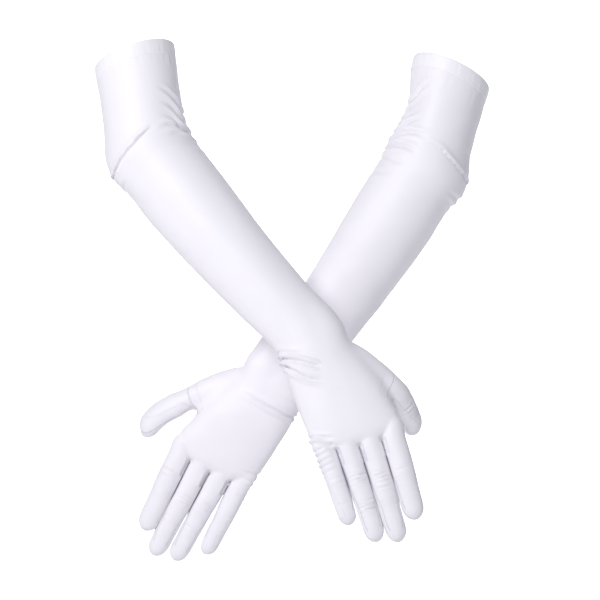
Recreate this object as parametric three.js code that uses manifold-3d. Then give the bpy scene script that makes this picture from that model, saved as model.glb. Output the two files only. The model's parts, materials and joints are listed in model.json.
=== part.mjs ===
// A pair of long opera gloves in stretch satin, standing as they are worn: upright, with the arms
// crossed at the wrists and the backs of both hands towards -Y. Millimetres, +Z up. The origin is
// the centre of the left glove's arm opening. Each glove is a chain of fabric tubes: upper sleeve,
// forearm, hand, and two tubes for every finger and thumb, with soft folds at elbow and wrist.
import * as THREE from 'three';
import { mergeVertices } from 'three/addons/utils/BufferGeometryUtils.js';
import Module from 'manifold-3d';

const wasm = await Module();
wasm.setup();

// ---- Driving dimensions: millimetres, and degrees for angles -------------------------------
const WALL = 0.8; // satin and its turned seams, drawn thicker than the cloth itself
const CLEAR = 0.3; // between pieces that are sewn or that roll on each other
const SLEEVE_SIDES = 24; // facets around a sleeve
const FINGER_SIDES = 12; // facets around a finger

const UPPER_ARM = 90; // opening centre to elbow centre
const FOREARM = 231; // elbow centre to wrist centre
const PALM = 118; // wrist centre to the root of the index finger

const HEM_DEPTH = 13; // height of the turned hem
const HEM_THICK = 3.2; // across the hem's two layers and the channel between them
const ELASTIC = { height: 8, thick: 1 };
const OPENING_SLOPE = { across: 0.16, front: -0.16 }; // the opening is cut higher on the thumb side and in front
const ELBOW_CUT = { outer: 3, crook: 50 }; // how far the sleeve panels stop short of the elbow
const WRIST_CUT = 15; // how far the panels stop short of the wrist

const FOREARM_TAPER = 115; // where the forearm starts to narrow, below the elbow
const FOREARM_LOW = 170; // where it starts to flatten towards the wrist
const THUMB_LEVEL = 45; // where the palm has widened beside the ball of the thumb, below the wrist
const PALM_MIDDLE = 75;

// [distance along the length, half width across the hand's plane, half depth through it].
const UPPER_SECTIONS = [[0, 37.5, 35.5], [45, 37, 36], [UPPER_ARM, 38.2, 36.8]];
const FOREARM_SECTIONS = [
  [0, 38.2, 36.8], [45, 39.3, 36], [FOREARM_TAPER, 36.2, 32], [FOREARM_LOW, 33.2, 27],
  [FOREARM - WRIST_CUT, 30.6, 22.4], [FOREARM, 30.2, 21.5],
];
const PALM_SECTIONS = [
  [0, 30.2, 21.5], [WRIST_CUT, 31.2, 20.5], [THUMB_LEVEL, 37, 18.5], [PALM_MIDDLE, 40.3, 16.5], [98, 40.5, 14],
  [112, 38.5, 11],
];
const PALM_DOME = { depth: 10, widthKept: 0.2 }; // how the palm's far end rounds off between the fingers
const PALM_TURNS = { from: 15, over: 45 }; // distances over which the palm shifts and slopes towards the knuckles

// Each finger: root on the palm (across towards the thumb, down from the wrist), length, and width
// at the root.
const FINGERS = {
  index: { across: 31.7, down: PALM, length: 73, width: 20.6 },
  middle: { across: 10.5, down: PALM - 1.5, length: 87, width: 19.6 },
  ring: { across: -9.8, down: PALM - 4.5, length: 82, width: 18.8 },
  little: { across: -28.8, down: PALM - 12.5, length: 67, width: 17.2 },
};
// How a finger narrows: [share of its length, share of its root's width, share of its root's depth].
const FINGER_TAPER = [[0.45, 0.97, 0.95], [0.9, 0.78, 0.74], [1, 0.74, 0.68]];
const KNUCKLE_SHARE = 0.4; // where a finger's middle knuckle lies, by its length
const FINGER_DEPTH = 0.94; // a finger's depth over its width
const STUB = 24; // how far a finger's root reaches up into the palm
const THUMB = { length: 40, width: 22.5, knuckle: 15, roll: 50, stub: 16 };
const THENAR = { across: 27, down: 18, palmward: 3, width: 27, short: 2 }; // the ball of the thumb, from its heel
const KNUCKLE_SLOPE = 0.12; // the finger roots step back towards the little finger
const PALM_SHIFT = 4; // the knuckles sit this far towards the thumb side of the wrist
const FOURCHETTE_WIDTH = 10; // strip let into the sides of the fingers
const FOURCHETTE_START = 0.26; // how far from a finger's middle the strip's cut starts, by its width
const FOURCHETTE_STOP = 4; // the strip ends this far short of the middle knuckle
const TIP_ROUNDING = 0.42; // length of a fingertip's dome, by the finger's width
const ROOT_STRAIGHT = 0.4; // how much of a digit's root inside the palm is full before it rounds off
const DOME_SHARES = [0.5, 0.85]; // where a dome's rings lie along its length
const WEB = 2; // how far below the finger roots a fourchette's web lies, and how thick it is
const FOLD_RINGS = { elbow: 6, wrist: 5 };
const TUBE_RINGS = 3; // rings along a plain tapering tube
const FLAT_RING = 70; // past this distance below the elbow the sleeve's rings are square to the arm
const FOLD_FULLNESS = 0.9; // how strongly a fold's cloth leaves each edge in the limb's own direction
const CUTTER_REACH = 1; // cutting bodies pass this far beyond what they cut

// How each arm is held. bend: angle from straight down towards the thumb side. lean: towards the back.
// The thumb's root moves with the ball of the thumb, so its place on the palm is part of the pose.
const POSES = {
  left: {
    side: -1,
    opening: [0, 0, 0],
    upper: { bend: 15.4, lean: -8 },
    forearm: { bend: 34.5, lean: -1 },
    hand: { bend: 2.2, lean: 0 },
    splay: { index: -11, middle: -8.6, ring: -7.8, little: -9.2 },
    curl: { index: 4, middle: 6, ring: 7, little: 6 },
    thumb: { across: 58.5, down: 82, palmward: 9, bend: 24, lean: 12 },
  },
  right: {
    side: 1,
    opening: [-291, -30, 15],
    upper: { bend: 8.4, lean: -10 },
    forearm: { bend: 39.3, lean: -20 },
    hand: { bend: -16, lean: 2 },
    splay: { index: -7.5, middle: -6.3, ring: -4.9, little: -4 },
    curl: { index: 5, middle: 7, ring: 8, little: 7 },
    thumb: { across: 51, down: 76, palmward: 14, bend: 16, lean: 38 },
  },
};
const KNUCKLE_CURL = 6; // rest bend at every middle knuckle

const SATIN = { color: 0xf1eff5, roughness: 0.42, metalness: 0 };
const SATIN_FOLD = { color: 0xeae7f0, roughness: 0.46, metalness: 0 };
const SEAM_STRIP = { color: 0xf8f7fb, roughness: 0.38, metalness: 0 };
const ELASTIC_WHITE = { color: 0xe4e2ea, roughness: 0.8, metalness: 0 };

const rad = THREE.MathUtils.degToRad;

// ---- Section tables ------------------------------------------------------------------------

/** Half width and half depth at distance s, along a smooth curve through a section table. */
function sectionAt(table, s) {
  const last = table.length - 1;
  let i = 0;
  while (i < last - 1 && s > table[i + 1][0]) i += 1;
  const [a, b] = [table[i], table[i + 1]];
  const t = THREE.MathUtils.clamp((s - a[0]) / (b[0] - a[0]), 0, 1);
  const before = table[Math.max(i - 1, 0)];
  const after = table[Math.min(i + 2, last)];
  const through = (column) => {
    const span = b[0] - a[0];
    const slopeA = ((b[column] - before[column]) / (b[0] - before[0])) * span;
    const slopeB = ((after[column] - a[column]) / (after[0] - a[0])) * span;
    const [t2, t3] = [t * t, t * t * t];
    return a[column] * (2 * t3 - 3 * t2 + 1) + slopeA * (t3 - 2 * t2 + t) + b[column] * (3 * t2 - 2 * t3) + slopeB * (t3 - t2);
  };
  return [through(1), through(2)];
}

/** The section table of a finger or thumb: full at its root and slimmer at its tip. */
function fingerSections(spec) {
  const half = spec.width / 2;
  const depth = half * FINGER_DEPTH;
  return [
    [-STUB, half, depth],
    [0, half, depth],
    ...FINGER_TAPER.map(([share, wide, deep]) => [spec.length * share, half * wide, depth * deep]),
  ];
}

// ---- Building shells -----------------------------------------------------------------------

/**
 * A revolved profile whose every point is then placed by `place(layer, angle, s)`. A profile point
 * is [layer, s]; what the layer stands for is up to `place`.
 */
function shell(profile, sides, place) {
  const points = profile.map(([layer, s]) => new THREE.Vector2(layer, s));
  const geometry = new THREE.LatheGeometry(points, sides);
  const position = geometry.attributes.position;
  const rows = points.length;
  const moved = new THREE.Vector3();
  for (let i = 0; i < position.count; i += 1) {
    const turn = Math.floor(i / rows) % sides;
    const [layer, s] = profile[i % rows];
    moved.copy(place(layer, (turn / sides) * Math.PI * 2, s));
    position.setXYZ(i, moved.x, moved.y, moved.z);
  }
  return closedSurface(geometry);
}

/** Merges shared vertices, drops collapsed triangles and turns the faces outwards. */
function closedSurface(geometry) {
  geometry.deleteAttribute('normal');
  geometry.deleteAttribute('uv');
  const merged = mergeVertices(geometry, 1e-3);
  const index = merged.index.array;
  const kept = [];
  const p = merged.attributes.position;
  const [a, b, c] = [new THREE.Vector3(), new THREE.Vector3(), new THREE.Vector3()];
  let volume = 0;
  for (let i = 0; i < index.length; i += 3) {
    const [u, v, w] = [index[i], index[i + 1], index[i + 2]];
    if (u === v || v === w || w === u) continue;
    kept.push([u, v, w]);
    volume += a.fromBufferAttribute(p, u).dot(b.fromBufferAttribute(p, v).cross(c.fromBufferAttribute(p, w)));
  }
  merged.setIndex(kept.flatMap(([u, v, w]) => (volume < 0 ? [u, w, v] : [u, v, w])));
  merged.computeVertexNormals();
  return merged;
}

/** A profile for an open tube with rings at the distances listed: layer 1 outside, 0.5 inside. */
function tubeProfile(distances) {
  const outer = distances.map((s) => [1, s]);
  const inner = distances.map((s) => [0.5, s]).reverse();
  return [...outer, ...inner, [1, distances[0]]];
}

/** Places a point on an elliptical limb that runs down -Z from its joint: layer 1 is its outer face. */
function onLimb(side, table, tilt = () => 0) {
  return (layer, angle, s) => {
    const [halfWidth, halfDepth] = sectionAt(table, s);
    const inset = layer === 1 ? 0 : WALL;
    const across = (halfWidth - inset) * Math.cos(angle);
    const depth = (halfDepth - inset) * Math.sin(angle);
    return new THREE.Vector3(side * across, depth, -s + tilt(across, depth, s));
  };
}

function toManifold(geometry) {
  return new wasm.Manifold(
    new wasm.Mesh({
      numProp: 3,
      vertProperties: new Float32Array(geometry.attributes.position.array),
      triVerts: new Uint32Array(geometry.index.array),
    }),
  );
}

function fromManifold(solid) {
  const mesh = solid.getMesh();
  const geometry = new THREE.BufferGeometry();
  geometry.setAttribute('position', new THREE.BufferAttribute(new Float32Array(mesh.vertProperties), 3));
  geometry.setIndex([...mesh.triVerts]);
  return closedSurface(geometry);
}

function named(name, geometry, look) {
  const mesh = new THREE.Mesh(geometry, new THREE.MeshStandardMaterial(look));
  mesh.name = name;
  return mesh;
}

function spread(from, to, count) {
  return Array.from({ length: count }, (_, i) => from + ((to - from) * i) / (count - 1));
}

// ---- Sleeve pieces -------------------------------------------------------------------------

/** The slope of the arm opening, which fades out down the sleeve. */
function openingTilt(across, depth) {
  return OPENING_SLOPE.across * across + OPENING_SLOPE.front * depth;
}

/** Turned hem: the cloth folds over the top edge and down inside, leaving a channel for elastic. */
function topHem(side, name) {
  const profile = [
    [0, 0], [0, HEM_DEPTH], [WALL, HEM_DEPTH], [WALL, WALL], [HEM_THICK - WALL, WALL],
    [HEM_THICK - WALL, HEM_DEPTH], [HEM_THICK, HEM_DEPTH], [HEM_THICK, 0], [0, 0],
  ];
  return named(name, shell(profile, SLEEVE_SIDES, onOpening(side)), SATIN);
}

function hemElastic(side, name) {
  const inset = (HEM_THICK - ELASTIC.thick) / 2;
  const top = WALL + 4 * CLEAR;
  const profile = [
    [inset, top], [inset, top + ELASTIC.height], [inset + ELASTIC.thick, top + ELASTIC.height],
    [inset + ELASTIC.thick, top], [inset, top],
  ];
  return named(name, shell(profile, SLEEVE_SIDES, onOpening(side)), ELASTIC_WHITE);
}

/** Places a point by how far it lies inside the sleeve's face and how far below the opening. */
function onOpening(side) {
  return (inset, angle, below) => {
    const [halfWidth, halfDepth] = sectionAt(UPPER_SECTIONS, 0);
    const across = (halfWidth - inset) * Math.cos(angle);
    const depth = (halfDepth - inset) * Math.sin(angle);
    return new THREE.Vector3(side * across, depth, -below + openingTilt(across, depth));
  };
}

/** How far a sleeve panel stops short of the elbow, by distance across from the elbow's centre. */
function elbowCut(across) {
  const halfWidth = UPPER_SECTIONS.at(-1)[1];
  const share = (across + halfWidth) / (2 * halfWidth);
  return THREE.MathUtils.lerp(ELBOW_CUT.outer, ELBOW_CUT.crook, share);
}

function upperSleeve(side, name) {
  const top = HEM_DEPTH + CLEAR;
  const length = UPPER_ARM - top;
  const tilt = (across, depth, s) => {
    const down = (s - top) / length;
    return (1 - down) * openingTilt(across, depth) + down * elbowCut(across);
  };
  const place = onLimb(side, UPPER_SECTIONS, tilt);
  return named(name, shell(tubeProfile(spread(top, UPPER_ARM, TUBE_RINGS)), SLEEVE_SIDES, place), SATIN);
}

function forearmSleeve(side, name) {
  const end = FOREARM - WRIST_CUT;
  const tilt = (across, depth, s) => -elbowCut(across) * Math.max(0, 1 - s / FLAT_RING);
  const rings = [0, FLAT_RING, FOREARM_TAPER, FOREARM_LOW, end];
  const place = onLimb(side, FOREARM_SECTIONS, tilt);
  return named(name, shell(tubeProfile(rings), SLEEVE_SIDES, place), SATIN);
}

/**
 * A fold that bridges two cut edges: `start` and `end` give a point of each edge, and the cloth
 * runs between them along a curve that leaves each edge in the limb's own direction.
 */
function fold(name, start, end, leave, arrive, rings) {
  const place = (layer, angle, t) => {
    const from = start(layer, angle);
    const to = end(layer, angle);
    const reach = from.distanceTo(to) * FOLD_FULLNESS;
    const [t2, t3] = [t * t, t * t * t];
    return new THREE.Vector3()
      .addScaledVector(from, 2 * t3 - 3 * t2 + 1)
      .addScaledVector(leave, reach * (t3 - 2 * t2 + t))
      .addScaledVector(to, 3 * t2 - 2 * t3)
      .addScaledVector(arrive, reach * (t3 - t2));
  };
  return named(name, shell(tubeProfile(spread(0, 1, rings)), SLEEVE_SIDES, place), SATIN_FOLD);
}

const DOWN = new THREE.Vector3(0, 0, -1);

/** The elbow's fold, in the upper arm's frame; `forearm` is the forearm's matrix in that frame. */
function elbowFold(side, name, forearm) {
  const upper = onLimb(side, UPPER_SECTIONS, (across) => elbowCut(across) - CLEAR);
  const lower = onLimb(side, FOREARM_SECTIONS, (across) => CLEAR - elbowCut(across));
  return fold(
    name,
    (layer, angle) => upper(layer, angle, UPPER_ARM),
    (layer, angle) => lower(layer, angle, 0).applyMatrix4(forearm),
    DOWN,
    DOWN.clone().transformDirection(forearm),
    FOLD_RINGS.elbow,
  );
}

/** The wrist's fold, in the forearm's frame; `hand` is the hand's matrix in that frame. */
function wristFold(side, name, hand) {
  const upper = onLimb(side, FOREARM_SECTIONS);
  const lower = onLimb(side, PALM_SECTIONS);
  return fold(
    name,
    (layer, angle) => upper(layer, angle, FOREARM - WRIST_CUT + CLEAR),
    (layer, angle) => lower(layer, angle, WRIST_CUT - CLEAR).applyMatrix4(hand),
    DOWN,
    DOWN.clone().transformDirection(hand),
    FOLD_RINGS.wrist,
  );
}

// ---- Hand, fingers and thumb -----------------------------------------------------------------

/** Rings of a dome that starts full at `from` and closes at `to`, as [share of the section, s]. */
function dome(from, to) {
  const rings = DOME_SHARES.map((share) => [Math.sqrt(1 - share * share), from + (to - from) * share]);
  return [...rings, [0, to]];
}

/** Places a point of a solid digit whose section is drawn in by `inset` all round. */
function onDigit(side, spec, inset) {
  const table = fingerSections(spec);
  return (reach, angle, s) => {
    const [halfWidth, halfDepth] = sectionAt(table, s);
    const across = (halfWidth - inset) * Math.cos(angle) * reach;
    const depth = (halfDepth - inset) * Math.sin(angle) * reach;
    return new THREE.Vector3(side * across, depth, -s);
  };
}

/** A closed piece of a digit, square at both ends. */
function digitBar(side, spec, from, to, inset) {
  const profile = [[0, from], [1, from], [1, to], [0, to]];
  return toManifold(shell(profile, FINGER_SIDES, onDigit(side, spec, inset)));
}

/** A closed piece of a digit with a rounded tip. */
function digitEnd(side, spec, from, to, inset) {
  const rounding = spec.width * TIP_ROUNDING;
  const rings = spread(from, to - rounding, TUBE_RINGS).map((s) => [1, s]);
  const profile = [[0, from], ...rings, ...dome(to - rounding, to)];
  return toManifold(shell(profile, FINGER_SIDES, onDigit(side, spec, inset)));
}

/** The root of a digit inside the palm: rounded at its inner end and square at its mouth. */
function digitRoot(side, spec, depth, mouth, inset) {
  const straight = depth * ROOT_STRAIGHT;
  const profile = [...dome(-straight, inset - depth).reverse(), [1, -straight], [1, mouth], [0, mouth]];
  return toManifold(shell(profile, FINGER_SIDES, onDigit(side, spec, inset)));
}

/** An open tube of a finger between two distances. */
function fingerTube(side, spec, from, to) {
  return digitBar(side, spec, from, to, 0).subtract(digitBar(side, spec, from - CUTTER_REACH, to + CUTTER_REACH, WALL));
}

/** The end of a finger: a tube that is open at its root and rounded at its tip. */
function fingerCap(side, spec, from, to) {
  return digitEnd(side, spec, from, to, 0).subtract(digitEnd(side, spec, from - CUTTER_REACH, to - WALL, WALL));
}

/** A block through a finger's wall on one side, where its fourchette is let in. */
function sideBlock(side, spec, towardsThumb, from, to, width) {
  const block = new THREE.BoxGeometry(spec.width, width, to - from);
  const middle = spec.width * (FOURCHETTE_START + 0.5);
  block.translate(side * towardsThumb * middle, 0, -(from + to) / 2);
  return toManifold(closedSurface(block));
}

/** The palm as a closed solid, drawn in by `inset` for its hollow. */
function palmSolid(side, inset, from) {
  const end = PALM_SECTIONS.at(-1)[0] - inset;
  const rings = [from, THUMB_LEVEL, PALM_MIDDLE, end - PALM_DOME.depth].map((s) => [1, s]);
  const place = (reach, angle, s) => {
    const [halfWidth, halfDepth] = sectionAt(PALM_SECTIONS, s);
    const towardsFingers = THREE.MathUtils.clamp((s - PALM_TURNS.from) / PALM_TURNS.over, 0, 1);
    const widthShare = reach === 0 ? 0 : THREE.MathUtils.lerp(reach, 1, PALM_DOME.widthKept);
    const across = (halfWidth - inset) * Math.cos(angle) * widthShare;
    const depth = (halfDepth - inset) * Math.sin(angle) * reach;
    const step = KNUCKLE_SLOPE * across * towardsFingers;
    return new THREE.Vector3(side * (across + PALM_SHIFT * towardsFingers), depth, -s - step);
  };
  return toManifold(shell([[0, from], ...rings, ...dome(end - PALM_DOME.depth, end)], SLEEVE_SIDES, place));
}

/** The ball of the thumb: a rounded body from the heel of the hand to the thumb's mouth. */
function thenarSolid(side, inset, mouth) {
  const heel = new THREE.Vector3(side * THENAR.across, THENAR.palmward, -THENAR.down);
  const length = heel.distanceTo(mouth) - THENAR.short;
  const spec = { ...THENAR, length };
  const rounding = THENAR.width / 2;
  const profile = [
    ...dome(rounding, inset).reverse(), [1, rounding], [1, length - rounding], ...dome(length - rounding, length - inset),
  ];
  const along = mouth.clone().sub(heel).normalize();
  const turn = new THREE.Quaternion().setFromUnitVectors(DOWN, along);
  const matrix = new THREE.Matrix4().compose(heel, turn, new THREE.Vector3(1, 1, 1));
  return toManifold(shell(profile, FINGER_SIDES, onDigit(side, spec, inset))).transform(matrix.elements);
}

/**
 * The hand as one closed solid: the palm, a short root for every digit, and the ball of the thumb.
 * It is drawn in by `inset` all round, and its mouths and wrist reach out by `reach`.
 */
function handSolid(side, roots, thumbRoot, inset, reach) {
  const mouth = new THREE.Vector3().setFromMatrixPosition(thumbRoot);
  let solid = palmSolid(side, inset, WRIST_CUT - reach).add(thenarSolid(side, inset, mouth));
  const addRoot = (spec, matrix, depth) => {
    solid = solid.add(digitRoot(side, spec, depth, reach, inset).transform(matrix.elements));
  };
  roots.forEach(({ spec, matrix }) => addRoot(spec, matrix, STUB));
  addRoot(THUMB, thumbRoot, THUMB.stub);
  return solid;
}

/**
 * A fourchette: two strips let into the facing walls of neighbouring fingers as far as their middle
 * knuckles, joined across the web between them.
 */
function fourchette(side, name, near, far, handAndClearance) {
  const width = FOURCHETTE_WIDTH - 2 * CLEAR;
  const arm = ({ spec, matrix }, towardsThumb) => {
    const end = spec.length * KNUCKLE_SHARE - FOURCHETTE_STOP - CLEAR;
    const strip = fingerTube(side, spec, 2 * CLEAR, end);
    return strip.intersect(sideBlock(side, spec, towardsThumb, 0, end, width)).transform(matrix.elements);
  };
  const webPoint = ({ spec, matrix }, towardsThumb, s) =>
    new THREE.Vector3(side * towardsThumb * (spec.width / 2 - WALL), 0, -s).applyMatrix4(matrix);
  const start = Math.max(near.spec.down, far.spec.down) - Math.min(near.spec.down, far.spec.down);
  const nearDeep = near.spec.down < far.spec.down ? start : 0;
  const farDeep = near.spec.down < far.spec.down ? 0 : start;
  const a = webPoint(near, -1, nearDeep + WEB);
  const b = webPoint(far, 1, farDeep + WEB);
  const bridge = new THREE.BoxGeometry(a.distanceTo(b), width, WEB);
  bridge.rotateY(-Math.atan2(b.z - a.z, b.x - a.x));
  bridge.translate((a.x + b.x) / 2, (a.y + b.y) / 2, (a.z + b.z) / 2);
  const joined = arm(near, -1).add(arm(far, 1)).add(toManifold(closedSurface(bridge)));
  return named(name, fromManifold(joined.subtract(handAndClearance)), SEAM_STRIP);
}

// ---- One glove -------------------------------------------------------------------------------

function turned(bend, lean, side, roll = 0) {
  return new THREE.Euler(rad(lean), -side * rad(bend), side * rad(roll));
}

function placed(parent, position, euler) {
  const group = new THREE.Group();
  group.position.copy(position);
  group.rotation.copy(euler);
  group.updateMatrix();
  parent.add(group);
  return group;
}

/** A digit's two tubes, in its root's group; `windows` lists the sides where a fourchette is let in. */
function digit(label, root, side, spec, knuckle, windows) {
  const base = fingerTube(side, spec, CLEAR, knuckle);
  const cut = windows.reduce(
    (solid, towardsThumb) =>
      solid.subtract(sideBlock(side, spec, towardsThumb, CLEAR - CUTTER_REACH, knuckle - FOURCHETTE_STOP, FOURCHETTE_WIDTH)),
    base,
  );
  root.add(named(`${label}_base`, fromManifold(cut), SATIN));
  const palmar = spec.width * FINGER_DEPTH * 0.5;
  const bend = new THREE.Matrix4().makeTranslation(0, palmar, -knuckle)
    .multiply(new THREE.Matrix4().makeRotationX(rad(KNUCKLE_CURL)))
    .multiply(new THREE.Matrix4().makeTranslation(0, -palmar, knuckle));
  const tip = new THREE.Group();
  bend.decompose(tip.position, tip.quaternion, tip.scale);
  tip.add(named(`${label}_tip`, fromManifold(fingerCap(side, spec, knuckle + CLEAR, spec.length)), SATIN));
  root.add(tip);
}

function glove(label) {
  const pose = POSES[label];
  const { side } = pose;
  const whole = new THREE.Group();
  whole.position.set(...pose.opening);

  const upper = placed(whole, new THREE.Vector3(), turned(pose.upper.bend, pose.upper.lean, side));
  const elbow = new THREE.Vector3(0, 0, -UPPER_ARM).applyMatrix4(upper.matrix);
  const forearm = placed(whole, elbow, turned(pose.forearm.bend, pose.forearm.lean, side));
  const hand = placed(forearm, new THREE.Vector3(0, 0, -FOREARM), turned(pose.hand.bend, pose.hand.lean, side));
  const forearmInUpper = upper.matrix.clone().invert().multiply(forearm.matrix);

  upper.add(topHem(side, `${label}_top_hem`));
  upper.add(hemElastic(side, `${label}_hem_elastic`));
  upper.add(upperSleeve(side, `${label}_upper_sleeve`));
  upper.add(elbowFold(side, `${label}_elbow_fold`, forearmInUpper));
  forearm.add(forearmSleeve(side, `${label}_forearm_sleeve`));
  forearm.add(wristFold(side, `${label}_wrist_fold`, hand.matrix));

  const roots = Object.entries(FINGERS).map(([finger, spec]) => {
    const position = new THREE.Vector3(side * spec.across, 0, -spec.down);
    const group = placed(hand, position, turned(pose.splay[finger], pose.curl[finger], side));
    return { finger, spec, group, matrix: group.matrix };
  });
  const thumbAt = new THREE.Vector3(side * pose.thumb.across, pose.thumb.palmward, -pose.thumb.down);
  const thumbRoot = placed(hand, thumbAt, turned(pose.thumb.bend, pose.thumb.lean, side, THUMB.roll));
  const handOf = (inset, reach) => handSolid(side, roots, thumbRoot.matrix, inset, reach);
  hand.add(named(`${label}_hand`, fromManifold(handOf(0, 0).subtract(handOf(WALL, CUTTER_REACH))), SATIN));
  const handAndClearance = handOf(-CLEAR, CLEAR);

  const windows = { index: [-1], middle: [-1, 1], ring: [-1, 1], little: [1] };
  roots.forEach(({ finger, spec, group }) => {
    digit(`${label}_${finger}`, group, side, spec, spec.length * KNUCKLE_SHARE, windows[finger]);
  });
  digit(`${label}_thumb`, thumbRoot, side, THUMB, THUMB.knuckle, []);

  for (let i = 0; i < roots.length - 1; i += 1) {
    const [near, far] = [roots[i], roots[i + 1]];
    hand.add(fourchette(side, `${label}_${near.finger}_${far.finger}_fourchette`, near, far, handAndClearance));
  }
  return whole;
}

const gloves = new THREE.Group();
gloves.add(glove('left'), glove('right'));

export default gloves;
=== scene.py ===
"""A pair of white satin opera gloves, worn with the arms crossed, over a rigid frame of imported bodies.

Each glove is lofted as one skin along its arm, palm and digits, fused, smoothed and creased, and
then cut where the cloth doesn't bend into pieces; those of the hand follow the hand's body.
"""

import json
import math

import bmesh
import bpy
import numpy as np
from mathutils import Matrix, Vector
from mathutils.bvhtree import BVHTree


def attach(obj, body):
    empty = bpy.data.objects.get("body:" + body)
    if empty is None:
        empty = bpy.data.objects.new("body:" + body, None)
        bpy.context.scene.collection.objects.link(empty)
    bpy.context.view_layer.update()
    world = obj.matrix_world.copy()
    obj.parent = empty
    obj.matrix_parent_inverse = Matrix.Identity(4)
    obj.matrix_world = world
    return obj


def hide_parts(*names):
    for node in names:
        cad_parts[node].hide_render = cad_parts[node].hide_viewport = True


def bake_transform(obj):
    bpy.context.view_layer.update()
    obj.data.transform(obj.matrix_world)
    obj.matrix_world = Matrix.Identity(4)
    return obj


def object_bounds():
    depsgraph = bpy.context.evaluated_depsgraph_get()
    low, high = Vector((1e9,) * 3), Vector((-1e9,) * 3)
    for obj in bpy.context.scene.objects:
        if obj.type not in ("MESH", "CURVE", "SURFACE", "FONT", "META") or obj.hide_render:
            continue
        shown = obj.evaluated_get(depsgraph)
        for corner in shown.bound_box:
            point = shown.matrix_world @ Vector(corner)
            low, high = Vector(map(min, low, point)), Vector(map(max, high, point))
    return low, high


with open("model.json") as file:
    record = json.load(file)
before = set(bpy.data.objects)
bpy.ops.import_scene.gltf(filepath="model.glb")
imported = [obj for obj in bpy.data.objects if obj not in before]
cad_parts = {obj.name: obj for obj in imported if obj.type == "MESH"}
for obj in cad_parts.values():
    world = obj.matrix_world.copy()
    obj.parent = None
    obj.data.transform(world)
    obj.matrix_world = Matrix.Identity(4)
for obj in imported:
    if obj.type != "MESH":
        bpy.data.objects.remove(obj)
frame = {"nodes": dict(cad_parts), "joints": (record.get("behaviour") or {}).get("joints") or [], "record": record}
CAD_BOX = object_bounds()
JOINTS = {joint["name"]: joint for joint in frame["joints"]}
MOUNTS = {mount["name"]: mount for mount in frame["record"]["mounts"]}
MM = 0.001

# ---- Driving dimensions, in millimetres, the same as the solids' --------------------------------
UPPER_ARM = 90
FOREARM = 231
HEM_DEPTH = 13
SLOPE_ACROSS, SLOPE_FRONT = 0.16, -0.16  # the opening's plane, higher at the thumb side and in front
# Sections: distance down the limb, half width and half depth.
UPPER_SECTIONS = [(-12, 37.3, 35.4), (0, 37.5, 35.5), (45, 37, 36), (UPPER_ARM, 38.2, 36.8)]
FOREARM_SECTIONS = [
    (0, 38.2, 36.8),
    (45, 39.3, 36),
    (115, 36.2, 32),
    (170, 33.2, 27),
    (FOREARM - 15, 30.6, 22.4),
    (FOREARM, 30.2, 21.5),
]
PALM_SECTIONS = [
    (0, 30.2, 21.5),
    (15, 31.2, 20.5),
    (45, 37, 18.5),
    (75, 40.3, 16.5),
    (98, 40.5, 14),
    (112, 38.5, 11),
]
PALM_END = 114
PALM_SHIFT = 4  # how far the palm's middle lies towards the thumb
KNUCKLE_SLOPE = 0.12  # the knuckles lie lower on the thumb's side
ELBOW_ZONE = 22  # the sleeve turns this far on either side of the elbow
WRIST_ZONE = 12
ELBOW_BLEND = 46  # the sleeve bends over this far on either side of the elbow
WRIST_BLEND = 24
PALM_ROUNDING = 12  # depth of the palm's rounded end, under the fingers
# Length and width of each finger. The knuckle is its middle joint, and the stub reaches into the palm.
FINGER_SIZES = {"index": (73, 20.6), "middle": (87, 19.6), "ring": (82, 18.8), "little": (67, 17.2)}
KNUCKLE_SHARE = 0.4
DIGITS = {
    name: {"length": length, "width": width, "knuckle": KNUCKLE_SHARE * length, "stub": 24}
    for name, (length, width) in FINGER_SIZES.items()
}
DIGITS["thumb"] = {"length": 40, "width": 22.5, "knuckle": 15, "stub": 16}
FINGERS = list(FINGER_SIZES)
NEIGHBOURS = list(zip(FINGERS, FINGERS[1:]))
THENAR_HEEL = (27, 3, 18)  # across, palmward and down from the wrist
THENAR_WIDTH = 27
SPREAD = {"index": 12, "middle": 4, "ring": -4, "little": -12}  # degrees apart while the skin is fused
SPREAD_PIVOT = -24  # where each finger turns for that, measured from its root
# How far the thumb's cloth sits off the joint's line, across, palmward and down.
THUMB_NUDGE = {"left": (3, 0, -3.5), "right": (0, 0, 0)}
HEM_RAISE = {"left": 2.5, "right": 0}  # how far above the stiff rim the hem's cloth reaches
# Loose cloth past the left fingertips.
FINGER_STRETCH = {"index": 1.5, "middle": 3, "ring": 3.5, "little": 4.5}
DIGIT_DEPTH = 0.94  # a finger's depth as a share of its width
FOREARM_BOW = -2.6  # the forearm's sleeve bulges this far towards the little finger's side, halfway down
KNUCKLE_CURL = 6  # degrees that each digit is bent at its middle joint
WALL = 0.5  # the cloth's thickness
PLUMP = 0.45  # fingers are this much fuller before smoothing, which shrinks them
VOXEL = 1.2  # size of the quads that the skin is made of
THUMB_SEAM = 14  # how far above the thumb's root its set-in seam runs
STRIP_HALF = 3.8  # half the width of a fourchette's strip
WEB_ABOVE = 12  # how far above the finger roots a fourchette starts
MID_FOREARM = 118  # where the sleeve is cut in two
PALM_START = 30  # where the hand's cloth starts, below the wrist
FAR_FROM_SEAMS = 9.0
NOT_HERE = -99.0  # stands for a point that isn't on a digit

rng = np.random.default_rng(11)


def unit(v):
    v = np.asarray(v, float)
    return v / np.linalg.norm(v)


def smooth(t):
    t = np.clip(t, 0, 1)
    return t * t * (3 - 2 * t)


def hermite(a, b, slope_a, slope_b, t):
    """A smooth step from a to b with the given slopes at its ends."""
    return (
        a * (2 * t**3 - 3 * t**2 + 1)
        + slope_a * (t**3 - 2 * t**2 + t)
        + b * (3 * t**2 - 2 * t**3)
        + slope_b * (t**3 - t**2)
    )


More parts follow.
